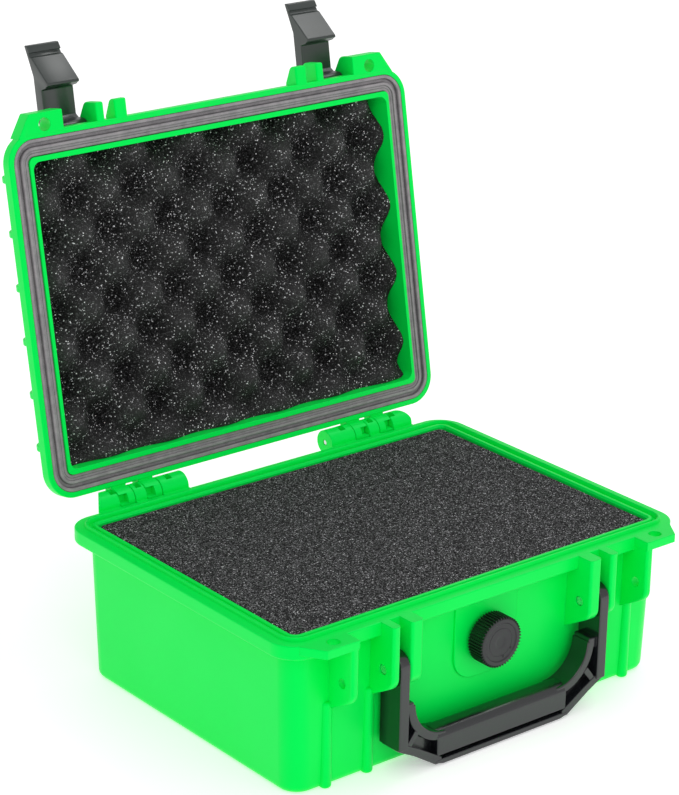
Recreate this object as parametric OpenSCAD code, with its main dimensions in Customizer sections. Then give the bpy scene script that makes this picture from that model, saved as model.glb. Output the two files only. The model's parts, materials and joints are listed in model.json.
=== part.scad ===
// Small moulded hard case with a foam lining: a base and a lid on two pinned hinges,
// two draw-down latches on the lid, a swinging bail handle and a manual purge valve.
// Millimetres. X is the width, the front is at -Y and +Z is up. The origin is the
// middle of the underside. The lid is drawn closed and then swung to its open stop.

/* [Rim] */
// Width of the rim flange
rim_w = 270; // [262:1:280]
// Depth of the rim flange
rim_d = 198; // [192:1:206]
// Corner radius of the rim flange
rim_r = 16; // [14:1:18]
// Height of the base up to its sealing ledge
base_h = 88; // [84:1:92]
// Height of the base flange
base_flange_h = 8; // [7:0.5:9]

/* [Lid] */
// Depth of the lid above the sealing ledge
lid_h = 30; // [28:1:34]
// Height of the lid flange
lid_flange_h = 7; // [6:0.5:7]
// Angle of the open lid from closed
open_angle = 100.4; // [90:0.1:110]

/* [Shells] */
// Overhang of the rim flange past the side walls of the tub
flange_out = 7.3; // [7:0.1:9]
// Overhang of the rim flange past the front and back walls of the tub
flange_out_front = 7.9; // [7.5:0.1:9]
// Draft of each tub side wall, from top to bottom
draft_side = 2.6; // [1:0.1:3]
// Draft of the front and back walls, from top to bottom
draft_front = 1.2; // [0.5:0.1:2]
// Thickness of the floor and the lid panel
floor_t = 3; // [2.5:0.5:4]
// Corner radius of the tub
tub_r = 12; // [10:1:14]

/* [Seal] */
// Height of the sealing tongue above the ledge
tongue_h = 1.9; // [1.5:0.1:2.2]
// Height of the inner ridge above the ledge
ridge_h = 1; // [0.6:0.1:1.2]
// Distance from the flange edge to the sealing tongue
tongue_in = 5.6; // [5:0.1:5.8]
// Distance from the flange edge to the inner ridge
ridge_in = 9.9; // [9.8:0.1:10.2]

/* [Hinges] */
// Distance of the hinge axis behind the rim flange
hinge_out = 8; // [7.8:0.1:9]
// Radius of the hinge knuckles
knuckle_r = 7.2; // [6:0.1:7.4]
// Radius of the hinge and latch pins
thin_pin_r = 1.6; // [1.2:0.1:2]

/* [Front hardware] */
// How far the ears and ribs stand out from the rim flange
rib_out = 10; // [8:0.5:11]
// Radius of the padlock holes
padlock_r = 3.6; // [2.5:0.1:3.8]
// Radius of the handle pins
handle_pin_r = 2.75; // [2:0.05:3]
// Height of the handle axis
handle_axis_z = 62.5; // [60:0.5:66]

/* [Purge valve] */
// Radius of the knob
knob_r = 14.1; // [12:0.1:15]
// Height of the valve axis
valve_z = 56; // [54:1:58]

/* [Hidden] */
$fn = 64;

green = "limegreen";
eps = 0.01;
// Clearances: a fixed pin, a turning pin, and pieces that only pass each other
fixed_gap = 0.02;
running_gap = 0.05;
free_gap = 0.3;

half_w = rim_w / 2;
half_d = rim_d / 2;
tongue_w = 1.9;
ridge_w = 2.4;
inner_in = 12.6;
tub_top_z = base_h - base_flange_h;
lid_z0 = base_h + free_gap;
lid_top_z = base_h + lid_h;
cavity_r = 3.6;
lid_wall_in = 10.8;

// Hinge
hinge_y = half_d + hinge_out;
hinge_z = base_h;
// Knuckles of the left hinge, outermost first: [left x, right x, belongs to the base]
knuckle_gap = 0.4;
knuckle_marks = [-111, -96.6, -86.5, -78.7, -68.5, -50.6];

// Front ribs, by the x of their inner and outer faces on the right-hand side
front_y = -half_d - rib_out;
inner_rib = [57.5, 65.2];
outer_rib = [72.2, 77.2];
corner_rib = [98.8, 103.4];
ear_x = [98.5, 119.2];
ear_t = 5;
lid_ear_t = 9;
padlock_x = 110.3;
padlock_y = front_y + 6.6;
rib_foot_z = 54.5;
handle_axis_y = front_y + 8;

// Latch
latch_axis_y = -half_d + 1.6;
latch_axis_z = base_h + 12.9;
latch_x = [77.6, 97.9];
latch_boss_r = 3.2;

// Handle
arm_x = [65.7, 71.8];
grip_half_x = 44;
grip_edge_r = 4.5;
handle_foot_z = 1;

// Valve
valve_wall_y = -87;
valve_plate_y = -half_d + 7;
valve_tail_y = -half_d + 21;
stem_r = 6;
shank_r = 7;

// ---------------------------------------------------------------- shared shapes

// Rounded rectangle about the origin
module round_rect(w, d, r) {
    square([w - 2 * r, d], center = true);
    square([w, d - 2 * r], center = true);
    for (sx = [-1, 1], sy = [-1, 1])
        translate([sx * (w / 2 - r), sy * (d / 2 - r)]) circle(r);
}

// Rounded block that follows the rim, set in from its edge, between two heights
module rim_block(inset, z0, z1) {
    r = max(rim_r - inset, 3);
    translate([0, 0, z0])
        linear_extrude(z1 - z0) round_rect(rim_w - 2 * inset, rim_d - 2 * inset, r);
}

// Ring that follows the rim between two insets and two heights
module rim_ring(outer_inset, inner_inset, z0, z1) {
    difference() {
        rim_block(outer_inset, z0, z1);
        rim_block(inner_inset, z0 - 1, z1 + 1);
    }
}

// Thin rounded slice for a hull
module slice(w, d, r, z) {
    translate([0, 0, z]) linear_extrude(eps) round_rect(w, d, r, $fn = 32);
}

// Outline in the Y-Z plane, pushed along X between two places
module side_plate(x0, x1) {
    translate([x0, 0, 0]) rotate([90, 0, 90]) linear_extrude(x1 - x0) children();
}

// Rod along X
module rod_x(x0, x1, r, y, z) {
    translate([x0, y, z]) rotate([0, 90, 0]) cylinder(h = x1 - x0, r = r);
}

// Both sides of the case: the shape drawn for +X, and its mirror image
module both_sides() {
    children();
    mirror([1, 0, 0]) children();
}

// Swings what is drawn for the closed lid to the open stop
module opened() {
    translate([0, hinge_y, hinge_z])
        rotate([-open_angle, 0, 0])
            translate([0, -hinge_y, -hinge_z]) children();
}

// One hinge knuckle with its arm back to the flange, before boring
module knuckle(x0, x1, arm_z0, arm_z1) {
    rod_x(x0, x1, knuckle_r, hinge_y, hinge_z);
    translate([x0, half_d - 2, arm_z0]) cube([x1 - x0, hinge_out + 2, arm_z1 - arm_z0]);
}

// Outline of an ear, seen from above: a plate with a chamfered outer corner
module ear_outline() {
    polygon([
        [ear_x[0], -half_d + 6], [ear_x[0], front_y], [ear_x[1], front_y],
        [ear_x[1] + 7.5, -half_d], [ear_x[1] + 7.5, -half_d + 8]
    ]);
}

// ---------------------------------------------------------------- base

// Outline of a front rib of the base, seen from the side
module base_rib_outline() {
    foot_r = 3.5;
    polygon([
        [-half_d + 14, base_h], [front_y, base_h], [front_y, rib_foot_z + foot_r],
        [front_y + 1, rib_foot_z + 1], [front_y + foot_r, rib_foot_z - 1.5],
        [-half_d + 10.6, rib_foot_z - 13], [-half_d + 14, rib_foot_z - 13]
    ]);
}

module tub_outside() {
    top_w = rim_w - 2 * flange_out;
    top_d = rim_d - 2 * flange_out_front;
    bottom_w = top_w - 2 * draft_side;
    bottom_d = top_d - 2 * draft_front;
    edge = 4;
    hull() {
        slice(top_w, top_d, tub_r, base_h - 1);
        slice(bottom_w, bottom_d, tub_r, edge);
        slice(bottom_w - 2.4, bottom_d - 2.4, tub_r - 1, 1.2);
        slice(bottom_w - 2 * edge, bottom_d - 2 * edge, tub_r - edge, 0);
    }
}

module tub_cavity() {
    top_w = rim_w - 2 * inner_in;
    top_d = rim_d - 2 * inner_in;
    hull() {
        slice(top_w, top_d, cavity_r, base_h + 5);
        slice(top_w - 2 * draft_side, top_d - 2 * draft_front, cavity_r, floor_t);
    }
}

// Flat panel standing proud of the front wall round the valve
module valve_panel() {
    half = 21.5;
    corner = 14;
    foot = valve_z - 22;
    translate([0, valve_wall_y, 0]) rotate([90, 0, 0]) linear_extrude(valve_wall_y - valve_plate_y) {
        translate([-half, foot + corner]) square([2 * half, tub_top_z - foot - corner]);
        translate([-half + corner, foot]) square([2 * (half - corner), corner + 1]);
        for (s = [-1, 1]) translate([s * (half - corner), foot + corner]) circle(corner);
    }
}

module base_solid() {
    bead_r = 3.2;
    tub_outside();
    rim_block(0, tub_top_z, base_h);
    rim_ring(tongue_in, tongue_in + tongue_w, base_h - 1, base_h + tongue_h);
    rim_ring(ridge_in, ridge_in + ridge_w, base_h - 1, base_h + ridge_h);
    valve_panel();
    both_sides() {
        translate([0, 0, base_h - ear_t]) linear_extrude(ear_t) ear_outline();
        side_plate(inner_rib[0], inner_rib[1]) base_rib_outline();
        side_plate(outer_rib[0], outer_rib[1]) base_rib_outline();
        side_plate(corner_rib[0], corner_rib[1]) base_rib_outline();
        for (x = [77, 104])
            translate([x, -half_d + flange_out_front + 1.5, 0.8])
                cylinder(h = rib_foot_z - 8, r = bead_r);
        for (i = [0, 2, 4])
            knuckle(
                -knuckle_marks[i + 1] + knuckle_gap / 2, -knuckle_marks[i] - knuckle_gap / 2,
                tub_top_z, base_h
            );
    }
}

module base_shell() {
    color(green) difference() {
        base_solid();
        tub_cavity();
        both_sides() {
            translate([padlock_x, padlock_y, base_h - ear_t - 1]) cylinder(h = ear_t + 2, r = padlock_r);
            rod_x(inner_rib[0] - 1, corner_rib[1] + 1, handle_pin_r + fixed_gap, handle_axis_y, handle_axis_z);
            rod_x(40, 120, thin_pin_r + fixed_gap, hinge_y, hinge_z);
            // Slanted outer end of the hinge
            translate([0, 0, tub_top_z - 1]) linear_extrude(base_flange_h + knuckle_r + 2)
                polygon([[111, 100], [101.5, 114.6], [114, 118], [118, 100]]);
            // Mould windows on top of the base knuckles
            for (x = [-knuckle_marks[1] + 1, -knuckle_marks[3] + 0.9, -knuckle_marks[5] + 11])
                translate([x, hinge_y - 1.8, hinge_z + 2.6]) cube([3, 3.6, knuckle_r]);
        }
        translate([0, valve_wall_y + 4, valve_z]) rotate([90, 0, 0])
            cylinder(h = 12, r = shank_r + running_gap);
    }
}

// ---------------------------------------------------------------- lid

module lid_outside() {
    w = rim_w - 2 * lid_wall_in;
    d = rim_d - 2 * lid_wall_in;
    hull() {
        slice(w, d, tub_r, lid_z0 + 1);
        slice(w - 3, d - 3, tub_r, lid_top_z - 6);
        slice(w - 6, d - 6, tub_r, lid_top_z - 2);
        slice(w - 14, d - 14, tub_r - 2, lid_top_z);
    }
}

// Stiffening ribs that run across the lid and down its side walls
module lid_ribs() {
    pitch = 29.5;
    rib_w = 4;
    side = half_w - lid_wall_in + 0.4;
    for (i = [-2.5:1:2.5])
        translate([0, i * pitch + rib_w / 2, 0]) rotate([90, 0, 0]) linear_extrude(rib_w)
            polygon([
                [-side, lid_z0 + 4], [-side, lid_top_z - 4], [-side + 8, lid_top_z + 1.4],
                [side - 8, lid_top_z + 1.4], [side, lid_top_z - 4], [side, lid_z0 + 4]
            ]);
}

// Outline of a lid rib, seen from the side: it rises from the front towards the lid wall
module lid_rib_outline(front_height, back_height) {
    corner = 2;
    back_y = -half_d + 13;
    polygon([
        [back_y, lid_z0], [front_y, lid_z0], [front_y, lid_z0 + front_height - corner],
        [front_y + corner, lid_z0 + front_height], [-half_d - 0.5, lid_z0 + back_height],
        [back_y, lid_z0 + back_height]
    ]);
}

module lid_solid() {
    lid_outside();
    lid_ribs();
    rim_block(0, lid_z0, lid_z0 + lid_flange_h);
    both_sides() {
        translate([0, 0, lid_z0]) linear_extrude(lid_ear_t) ear_outline();
        side_plate(inner_rib[0], inner_rib[1]) lid_rib_outline(5.5, 11);
        side_plate(outer_rib[0], outer_rib[1]) lid_rib_outline(12, 18.8);
        side_plate(ear_x[0], ear_x[0] + 4.4) lid_rib_outline(12, 18.8);
        for (i = [1, 3])
            knuckle(
                -knuckle_marks[i + 1] + knuckle_gap / 2, -knuckle_marks[i] - knuckle_gap / 2,
                lid_z0 + 0.6, lid_z0 + lid_flange_h
            );
    }
}

gasket_in = 3.1;
gasket_out = 12.7;
gasket_depth = 5;
lid_lip_in = 14.6;
lid_lip_in_front = 15.4;

module lid_shell() {
    color(green) opened() difference() {
        lid_solid();
        rim_ring(gasket_in, gasket_out, lid_z0 - 1, lid_z0 + gasket_depth);
        hull() {
            slice(rim_w - 2 * lid_lip_in, rim_d - 2 * lid_lip_in_front, 4, lid_z0 - 1);
            slice(rim_w - 2 * lid_lip_in - 4, rim_d - 2 * lid_lip_in_front - 4, 4, lid_top_z - floor_t);
        }
        both_sides() {
            translate([padlock_x, padlock_y, lid_z0 - 1]) cylinder(h = lid_ear_t + 2, r = padlock_r);
            rod_x(outer_rib[0] - 1, ear_x[0] + 6, thin_pin_r + fixed_gap, latch_axis_y, latch_axis_z);
            rod_x(40, 120, thin_pin_r + running_gap, hinge_y, hinge_z);
            // Mould windows in the lid knuckles, beside the outer base knuckle
            for (x = [-knuckle_marks[2] + 5, -knuckle_marks[4] + 5])
                translate([x, hinge_y - knuckle_r + 1.6, hinge_z + 2.4])
                    cube([6, knuckle_r - 4, 3]);
        }
    }
}

// Moulded seal: flat outer band, deep groove for the tongue, middle band, low inner band
module lid_gasket() {
    groove_in = tongue_in - 0.4;
    groove_out = tongue_in + tongue_w + 0.4;
    seat_z = lid_z0 + gasket_depth - 0.05;
    edge = 0.05;
    color("dimgray") opened() difference() {
        rim_ring(gasket_in + edge, gasket_out - edge, lid_z0 + 0.2, seat_z);
        rim_ring(groove_in, groove_out, lid_z0 - 1, base_h + tongue_h + 0.4);
        rim_ring(ridge_in - 0.4, gasket_out + 1, lid_z0 - 1, base_h + ridge_h + 0.4);
    }
}

module lid_foam() {
    w = rim_w - 2 * lid_lip_in - 4 - 2 * free_gap;
    d = rim_d - 2 * lid_lip_in_front - 4 - 2 * free_gap;
    color("black") opened() translate([0, 0, base_h + 0.9])
        linear_extrude(lid_h - floor_t - 1.2) round_rect(w, d, 3.5);
}

// ---------------------------------------------------------------- base foam

foam_split_low = 13;
foam_split_mid = 39;
foam_top = base_h - 0.6;

module foam_layer(z0, z1) {
    level = z0 / base_h;
    w = rim_w - 2 * inner_in - 2 * draft_side * (1 - level) - 2 * free_gap;
    d = rim_d - 2 * inner_in - 2 * draft_front * (1 - level) - 2 * free_gap;
    translate([0, 0, z0]) linear_extrude(z1 - z0) round_rect(w, d, cavity_r - free_gap);
}

module base_foam_pad() {
    color("dimgray") foam_layer(floor_t + 0.1, foam_split_low);
}

module base_foam_lower() {
    color("dimgray") foam_layer(foam_split_low + 0.1, foam_split_mid);
}

// The top layer is cut away behind the valve
module base_foam_upper() {
    color("dimgray") difference() {
        foam_layer(foam_split_mid + 0.1, foam_top);
        translate([0, -half_d + 22, valve_z]) rotate([90, 0, 0]) cylinder(h = 20, r = 15);
    }
}

// ---------------------------------------------------------------- hinge and handle pins

module hinge_pin() {
    color("silver")
        rod_x(-knuckle_marks[5] + 0.6, -knuckle_marks[0] - 5.6, thin_pin_r, hinge_y, hinge_z);
}

module hinge_pin_left() {
    mirror([1, 0, 0]) hinge_pin();
}

module hinge_pin_right() {
    hinge_pin();
}

module handle_pin() {
    color("silver")
        rod_x(inner_rib[0] + 0.5, outer_rib[1] - 0.5, handle_pin_r, handle_axis_y, handle_axis_z);
}

module handle_pin_left() {
    mirror([1, 0, 0]) handle_pin();
}

module handle_pin_right() {
    handle_pin();
}

// ---------------------------------------------------------------- latches

// Side outline of a latch in its open position: spine, hook lip and flared tail
module latch_outline() {
    y = latch_axis_y;
    z = latch_axis_z;
    polygon([
        [y + 3.2, z], [y + 4.0, z + 9.5], [y + 2.0, z + 13.4], [y - 27.6, z + 13.1],
        [y - 35.6, z + 15.7], [y - 44.2, z + 18.6], [y - 44.0, z + 15.9], [y - 40.0, z + 14.0],
        [y - 39.2, z + 12.9], [y - 36.4, z + 11.3], [y - 23.8, z - 0.6], [y - 22.2, z - 0.2],
        [y - 20.4, z + 6.6], [y - 5.4, z + 6.8], [y - 3.6, z + 4.6], [y - 3.2, z]
    ]);
}

module latch() {
    color("#202124") opened() difference() {
        union() {
            side_plate(latch_x[0], latch_x[1]) latch_outline();
            rod_x(latch_x[0], latch_x[1], latch_boss_r, latch_axis_y, latch_axis_z);
        }
        rod_x(latch_x[0] - 1, latch_x[1] + 1, thin_pin_r + running_gap, latch_axis_y, latch_axis_z);
    }
}

module latch_left() {
    mirror([1, 0, 0]) latch();
}

module latch_right() {
    latch();
}

module latch_pin() {
    color("silver") opened()
        rod_x(outer_rib[0] + 0.5, ear_x[0] + 4, thin_pin_r, latch_axis_y, latch_axis_z);
}

module latch_pin_left() {
    mirror([1, 0, 0]) latch_pin();
}

module latch_pin_right() {
    latch_pin();
}

// ---------------------------------------------------------------- carry handle

// One arm of the handle with its rounded eye, its step and its curved root
module handle_arm() {
    arm_half_y = 8.2;
    foot_z = 17;
    curve_r = 26;
    curve_x = arm_x[0] - curve_r - 1;
    curve_z = foot_z + curve_r - 3;
    rod_x(arm_x[0], arm_x[1], arm_half_y, handle_axis_y, handle_axis_z);
    translate([arm_x[0], handle_axis_y - arm_half_y, foot_z])
        cube([arm_x[1] - arm_x[0], 2 * arm_half_y, handle_axis_z - foot_z]);
    // Step where the grip curve meets the arm
    translate([arm_x[0] - 5, handle_axis_y - 6, 36]) cube([5 + eps, 12, 6]);
    // Curved rib from the step round to the grip
    translate([curve_x, handle_axis_y + 6, curve_z]) rotate([90, 0, 0])
        linear_extrude(12) intersection() {
            difference() {
                circle(curve_r);
                circle(curve_r - 5);
            }
            polygon([[0, 0], [0, -curve_r * 1.5], [curve_r * 1.5, -curve_r * 1.5], [curve_r * 1.5, 0]]);
        }
    // Slanting foot that closes the corner under the curve
    translate([0, handle_axis_y + 3, 0]) rotate([90, 0, 0]) linear_extrude(8)
        polygon([
            [arm_x[1], foot_z + 4], [arm_x[1], foot_z], [60, 12], [46, handle_foot_z + 2],
            [44, handle_foot_z + 6], [58, 15.5], [arm_x[0], foot_z + 5]
        ]);
}

module carry_handle() {
    lip_half_x = 45;
    color("#202124") difference() {
        union() {
            both_sides() handle_arm();
            hull() for (sy = [-1, 1], z = [10.2, 15.8])
                rod_x(-grip_half_x, grip_half_x, grip_edge_r, handle_axis_y + sy * 2.4, z);
            // Thin lip and web under the grip
            translate([0, handle_axis_y + 3, 0]) rotate([90, 0, 0]) linear_extrude(8)
                polygon([
                    [-lip_half_x + 6, handle_foot_z], [lip_half_x - 6, handle_foot_z],
                    [lip_half_x + 1, handle_foot_z + 2.4], [lip_half_x - 1, handle_foot_z + 5.6],
                    [-lip_half_x + 1, handle_foot_z + 5.6], [-lip_half_x - 1, handle_foot_z + 2.4]
                ]);
        }
        both_sides()
            rod_x(arm_x[0] - 1, arm_x[1] + 1, handle_pin_r + running_gap, handle_axis_y, handle_axis_z);
    }
}

// ---------------------------------------------------------------- purge valve

// Rod along -Y on the valve axis, from y0 towards the front
module valve_rod(y0, length, r) {
    translate([0, y0, valve_z]) rotate([90, 0, 0]) cylinder(h = length, r = r);
}

knob_back_y = valve_plate_y - 1.6;
knob_front_y = knob_back_y - 10.4;

module valve_stem() {
    color("#202124") difference() {
        union() {
            valve_rod(valve_tail_y, valve_tail_y - valve_plate_y, shank_r);
            valve_rod(valve_plate_y, 6.5, stem_r);
        }
        valve_rod(valve_tail_y + 1, 24, 2);
    }
}

module valve_nut() {
    color("#202124") difference() {
        translate([0, valve_tail_y - 0.9, valve_z]) rotate([90, 0, 0]) cylinder(h = 5, r = 11, $fn = 6);
        valve_rod(valve_tail_y, 8, shank_r + fixed_gap);
    }
}

module valve_washer() {
    color("dimgray") difference() {
        valve_rod(valve_tail_y - 5.95, 1.7, 10);
        valve_rod(valve_tail_y - 5, 4, shank_r + fixed_gap);
    }
}

// Seal ring that lifts off the panel with the knob
module valve_seal_ring() {
    color("dimgray") difference() {
        valve_rod(valve_plate_y - 0.05, 1.5, 9.5);
        valve_rod(valve_plate_y + 1, 4, stem_r + running_gap);
    }
}

module valve_knob() {
    teeth = 48;
    color("#202124") difference() {
        union() {
            valve_rod(knob_back_y, knob_back_y - knob_front_y, knob_r - 0.5);
            for (i = [0:teeth - 1])
                translate([0, knob_back_y - 0.4, valve_z]) rotate([90, i * 360 / teeth, 0])
                    translate([knob_r - 0.9, -0.4, 0]) cube([0.9, 0.8, 8.4]);
        }
        valve_rod(knob_back_y + 1, 7.5, stem_r + running_gap);
        valve_rod(knob_front_y + 0.6, 2, knob_r - 3.4);
    }
}

// ---------------------------------------------------------------- nodes

base_shell();
lid_shell();
lid_gasket();
lid_foam();
base_foam_upper();
base_foam_lower();
base_foam_pad();
hinge_pin_left();
hinge_pin_right();
latch_left();
latch_right();
latch_pin_left();
latch_pin_right();
carry_handle();
handle_pin_left();
handle_pin_right();
valve_stem();
valve_knob();
valve_seal_ring();
valve_nut();
valve_washer();
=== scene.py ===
"""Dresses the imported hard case: shells, foam, seal, latches, handle, valve, pins and studio."""
import json
import logging
import math
from contextlib import contextmanager
from dataclasses import dataclass
from enum import Enum
from typing import Callable, Iterator, Sequence

import bmesh
import bpy
from bpy.types import Material, Object
from mathutils import Matrix, Vector, noise


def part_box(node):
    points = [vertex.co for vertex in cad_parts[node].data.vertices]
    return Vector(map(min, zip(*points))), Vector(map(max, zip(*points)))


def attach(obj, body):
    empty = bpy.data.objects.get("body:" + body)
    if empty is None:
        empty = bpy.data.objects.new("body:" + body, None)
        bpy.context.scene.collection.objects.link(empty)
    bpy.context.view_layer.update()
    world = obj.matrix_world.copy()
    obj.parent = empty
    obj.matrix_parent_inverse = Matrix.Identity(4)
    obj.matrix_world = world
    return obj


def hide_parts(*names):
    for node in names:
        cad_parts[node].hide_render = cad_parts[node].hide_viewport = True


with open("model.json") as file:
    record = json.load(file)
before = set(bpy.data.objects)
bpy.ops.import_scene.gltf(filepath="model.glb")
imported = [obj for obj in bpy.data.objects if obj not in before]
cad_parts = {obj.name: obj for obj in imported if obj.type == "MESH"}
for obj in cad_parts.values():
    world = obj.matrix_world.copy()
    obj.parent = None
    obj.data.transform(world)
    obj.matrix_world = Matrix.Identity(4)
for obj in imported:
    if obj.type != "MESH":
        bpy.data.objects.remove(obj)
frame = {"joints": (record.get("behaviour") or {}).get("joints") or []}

LOG = logging.getLogger("hard_case")
MM = 0.001
TOUCH = 0.02
QUARTER_TURN = math.pi / 2
Corners = list[Vector]
Test = Callable[[Corners], bool]


class Axis(Enum):
    """A row axis that a rod is laid along, with the turn that lays an upright cylinder along it."""

    X = (0.0, QUARTER_TURN, 0.0)
    Y = (QUARTER_TURN, 0.0, 0.0)
    Z = (0.0, 0.0, 0.0)


class Join(Enum):
    """How one solid is combined with another."""

    ADD = "UNION"
    CUT = "DIFFERENCE"


# ------------------------------------------------------------------ mesh tools, all sizes in millimetres


def activate(obj: Object) -> None:
    """Selects one object alone and makes it the active one.

    Args:
        obj: Mesh object to work on.
    """
    bpy.ops.object.select_all(action="DESELECT")
    obj.select_set(True)
    bpy.context.view_layer.objects.active = obj


@contextmanager
def editing(obj: Object, mode: str) -> Iterator[None]:
    """Opens an object in edit mode with nothing selected.

    Args:
        obj: The mesh object.
        mode: VERT, EDGE or FACE.

    Yields:
        Nothing; the mode is left again at the end.
    """
    activate(obj)
    bpy.ops.object.mode_set(mode="EDIT")
    bpy.ops.mesh.select_mode(type=mode)
    bpy.ops.mesh.select_all(action="DESELECT")
    yield
    bpy.ops.object.mode_set(mode="OBJECT")


def pick(obj: Object, mode: str, test: Test) -> None:
    """Selects the elements whose corners pass a test, in edit mode.

    Args:
        obj: The object that is open in edit mode.
        mode: VERT, EDGE or FACE.
        test: Takes an element's corners in millimetres and says whether it is wanted.
    """
    bpy.ops.mesh.select_all(action="DESELECT")
    mesh = bmesh.from_edit_mesh(obj.data)
    elements = {"VERT": mesh.verts, "EDGE": mesh.edges, "FACE": mesh.faces}[mode]
    for element in elements:
        corners = [element] if mode == "VERT" else list(element.verts)
        if test([corner.co / MM for corner in corners]):
            element.select_set(True)
    mesh.select_flush_mode()
    bmesh.update_edit_mesh(obj.data)


def at(index: int, *values: float) -> Test:
    """A test for elements that lie wholly at one of some values of a coordinate."""
    return lambda corners: any(all(abs(c[index] - value) < TOUCH for c in corners) for value in values)


def upright(corners: Corners) -> bool:
    """Says whether an edge runs mostly up and down."""
    return abs(corners[0].z - corners[1].z) > 3 * (corners[0].xy - corners[1].xy).length


def along_x_at(y: float, z: float) -> Test:
    """A test for edges that run along X at a place in Y and Z."""
    return lambda corners: all(abs(c.y - y) < 0.05 and abs(c.z - z) < 0.05 for c in corners)


def along_y_at(x: float, z: float) -> Test:
    """A test for edges that run along Y at a place in X and Z, on both sides of the middle.

    Args:
        x: Place across the case, in mm.
        z: Height, in mm.

    Returns:
        The test.
    """

    def test(corners: Corners) -> bool:
        """Leaves out the edges that cross from one side to the other."""
        here = all(abs(abs(c.x) - x) < 0.05 and abs(c.z - z) < 0.05 for c in corners)
        return here and abs(corners[0].x - corners[1].x) < 0.1

    return test


def block(name: str, low: Sequence[float], high: Sequence[float]) -> Object:
    """Adds a box between two corners.

    Args:
        name: The object's name.
        low: The lowest corner.
        high: The highest corner.

    Returns:
        The box, with its place in its mesh.
    """
    bpy.ops.object.select_all(action="DESELECT")
    bpy.ops.mesh.primitive_cube_add(
        size=1,
        location=[(a + b) / 2 * MM for a, b in zip(low, high)],
        scale=[(b - a) * MM for a, b in zip(low, high)],
    )
    bpy.ops.object.transform_apply(location=True, rotation=True, scale=True)
    bpy.context.object.name = name
    return bpy.context.object


def rod(
    name: str,
    axis: Axis,
    centre: Sequence[float],
    length: float,
    radius: float,
    sides: int = 48,
    edge: float = 0.0,
) -> Object:
    """Adds a round rod, with its end rims rounded if asked.

    Args:
        name: The object's name.
        axis: The direction that it lies along.
        centre: Its middle.
        length: Its length.
        radius: Its radius.
        sides: How many flats it is made of.
        edge: The radius of its end rims, or 0 for sharp ones.

    Returns:
        The rod, with its place in its mesh.
    """
    bpy.ops.object.select_all(action="DESELECT")
    bpy.ops.mesh.primitive_cylinder_add(
        vertices=sides,
        radius=radius * MM,
        depth=length * MM,
        location=[c * MM for c in centre],
        rotation=axis.value,
    )
    bpy.ops.object.transform_apply(location=True, rotation=True, scale=True)
    obj = bpy.context.object
    obj.name = name
    if edge > 0:
        index = list(Axis).index(axis)
        ends = (centre[index] - length / 2, centre[index] + length / 2)
        bevel_edges(obj, at(index, *ends), edge, 3)
    return obj


def drawn(name: str, outline: Sequence[Sequence[float]], along: Sequence[float]) -> Object:
    """Draws an outline corner by corner and extrudes it into a solid.

    Args:
        name: The object's name.
        outline: The corners, in order.
        along: How far and which way the outline is pushed.

    Returns:
        The solid, with its faces outwards.
    """
    corners = [Vector(corner) * MM for corner in outline]
    bpy.ops.object.select_all(action="DESELECT")
    bpy.ops.mesh.primitive_plane_add(size=MM, location=corners[0])
    bpy.ops.object.transform_apply(location=True, rotation=True, scale=True)
    obj = bpy.context.object
    obj.name = name
    with editing(obj, "VERT"):
        bpy.ops.mesh.select_all(action="SELECT")
        bpy.ops.mesh.merge(type="CENTER")
        for here, there in zip(corners, corners[1:]):
            bpy.ops.mesh.extrude_vertices_move(TRANSFORM_OT_translate={"value": there - here})
        bpy.ops.mesh.select_all(action="SELECT")
        bpy.ops.mesh.edge_face_add()
        bpy.ops.mesh.select_all(action="SELECT")
        bpy.ops.mesh.extrude_region_move(TRANSFORM_OT_translate={"value": Vector(along) * MM})
        bpy.ops.mesh.select_all(action="SELECT")
        bpy.ops.mesh.normals_make_consistent(inside=False)
    return obj


def bevel_edges(obj: Object, test: Test, width: float, segments: int) -> None:
    """Rounds the edges that pass a test.

    Args:
        obj: Mesh object to work on.
        test: Chooses the elements by their corners, in mm.
        width: Width of the bevel, in mm.
        segments: Number of steps across the bevel.
    """
    with editing(obj, "EDGE"):
        pick(obj, "EDGE", test)
        bpy.ops.mesh.bevel(offset=width * MM, segments=segments, affect="EDGES")


def resize_at(obj: Object, test: Test, factor_x: float, factor_y: float) -> None:
    """Scales the vertices that pass a test about the middle of the case.

    Args:
        obj: Mesh object to work on.
        test: Chooses the elements by their corners, in mm.
        factor_x: Scale across.
        factor_y: Scale along the depth.
    """
    with editing(obj, "VERT"):
        pick(obj, "VERT", test)
        bpy.ops.transform.resize(value=(factor_x, factor_y, 1), center_override=(0, 0, 0))


def move_at(obj: Object, test: Test, shift: Sequence[float]) -> None:
    """Moves the vertices that pass a test.

    Args:
        obj: Mesh object to work on.
        test: Chooses the elements by their corners, in mm.
        shift: Move, in mm.
    """
    with editing(obj, "VERT"):
        pick(obj, "VERT", test)
        bpy.ops.transform.translate(value=Vector(shift) * MM)


def step_face(obj: Object, test: Test, steps: Sequence[tuple[float, float]]) -> None:
    """Cuts a face into a stepped profile, from its rim inwards.

    Args:
        obj: The object.
        test: Picks the face.
        steps: For each step, how far it goes inwards and how far it rises.
    """
    with editing(obj, "FACE"):
        pick(obj, "FACE", test)
        for inwards, rise in steps:
            bpy.ops.mesh.inset(thickness=inwards * MM, depth=rise * MM)


def apply_modifier(obj: Object, kind: str, **settings: object) -> None:
    """Adds a modifier with some settings and applies it.

    Args:
        obj: Mesh object to work on.
        kind: Type, as Blender spells it.
        settings: Values to set on it.
    """
    activate(obj)
    bpy.ops.object.modifier_add(type=kind)
    modifier = obj.modifiers[-1]
    for name, value in settings.items():
        setattr(modifier, name, value)
    bpy.ops.object.modifier_apply(modifier=modifier.name)


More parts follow.
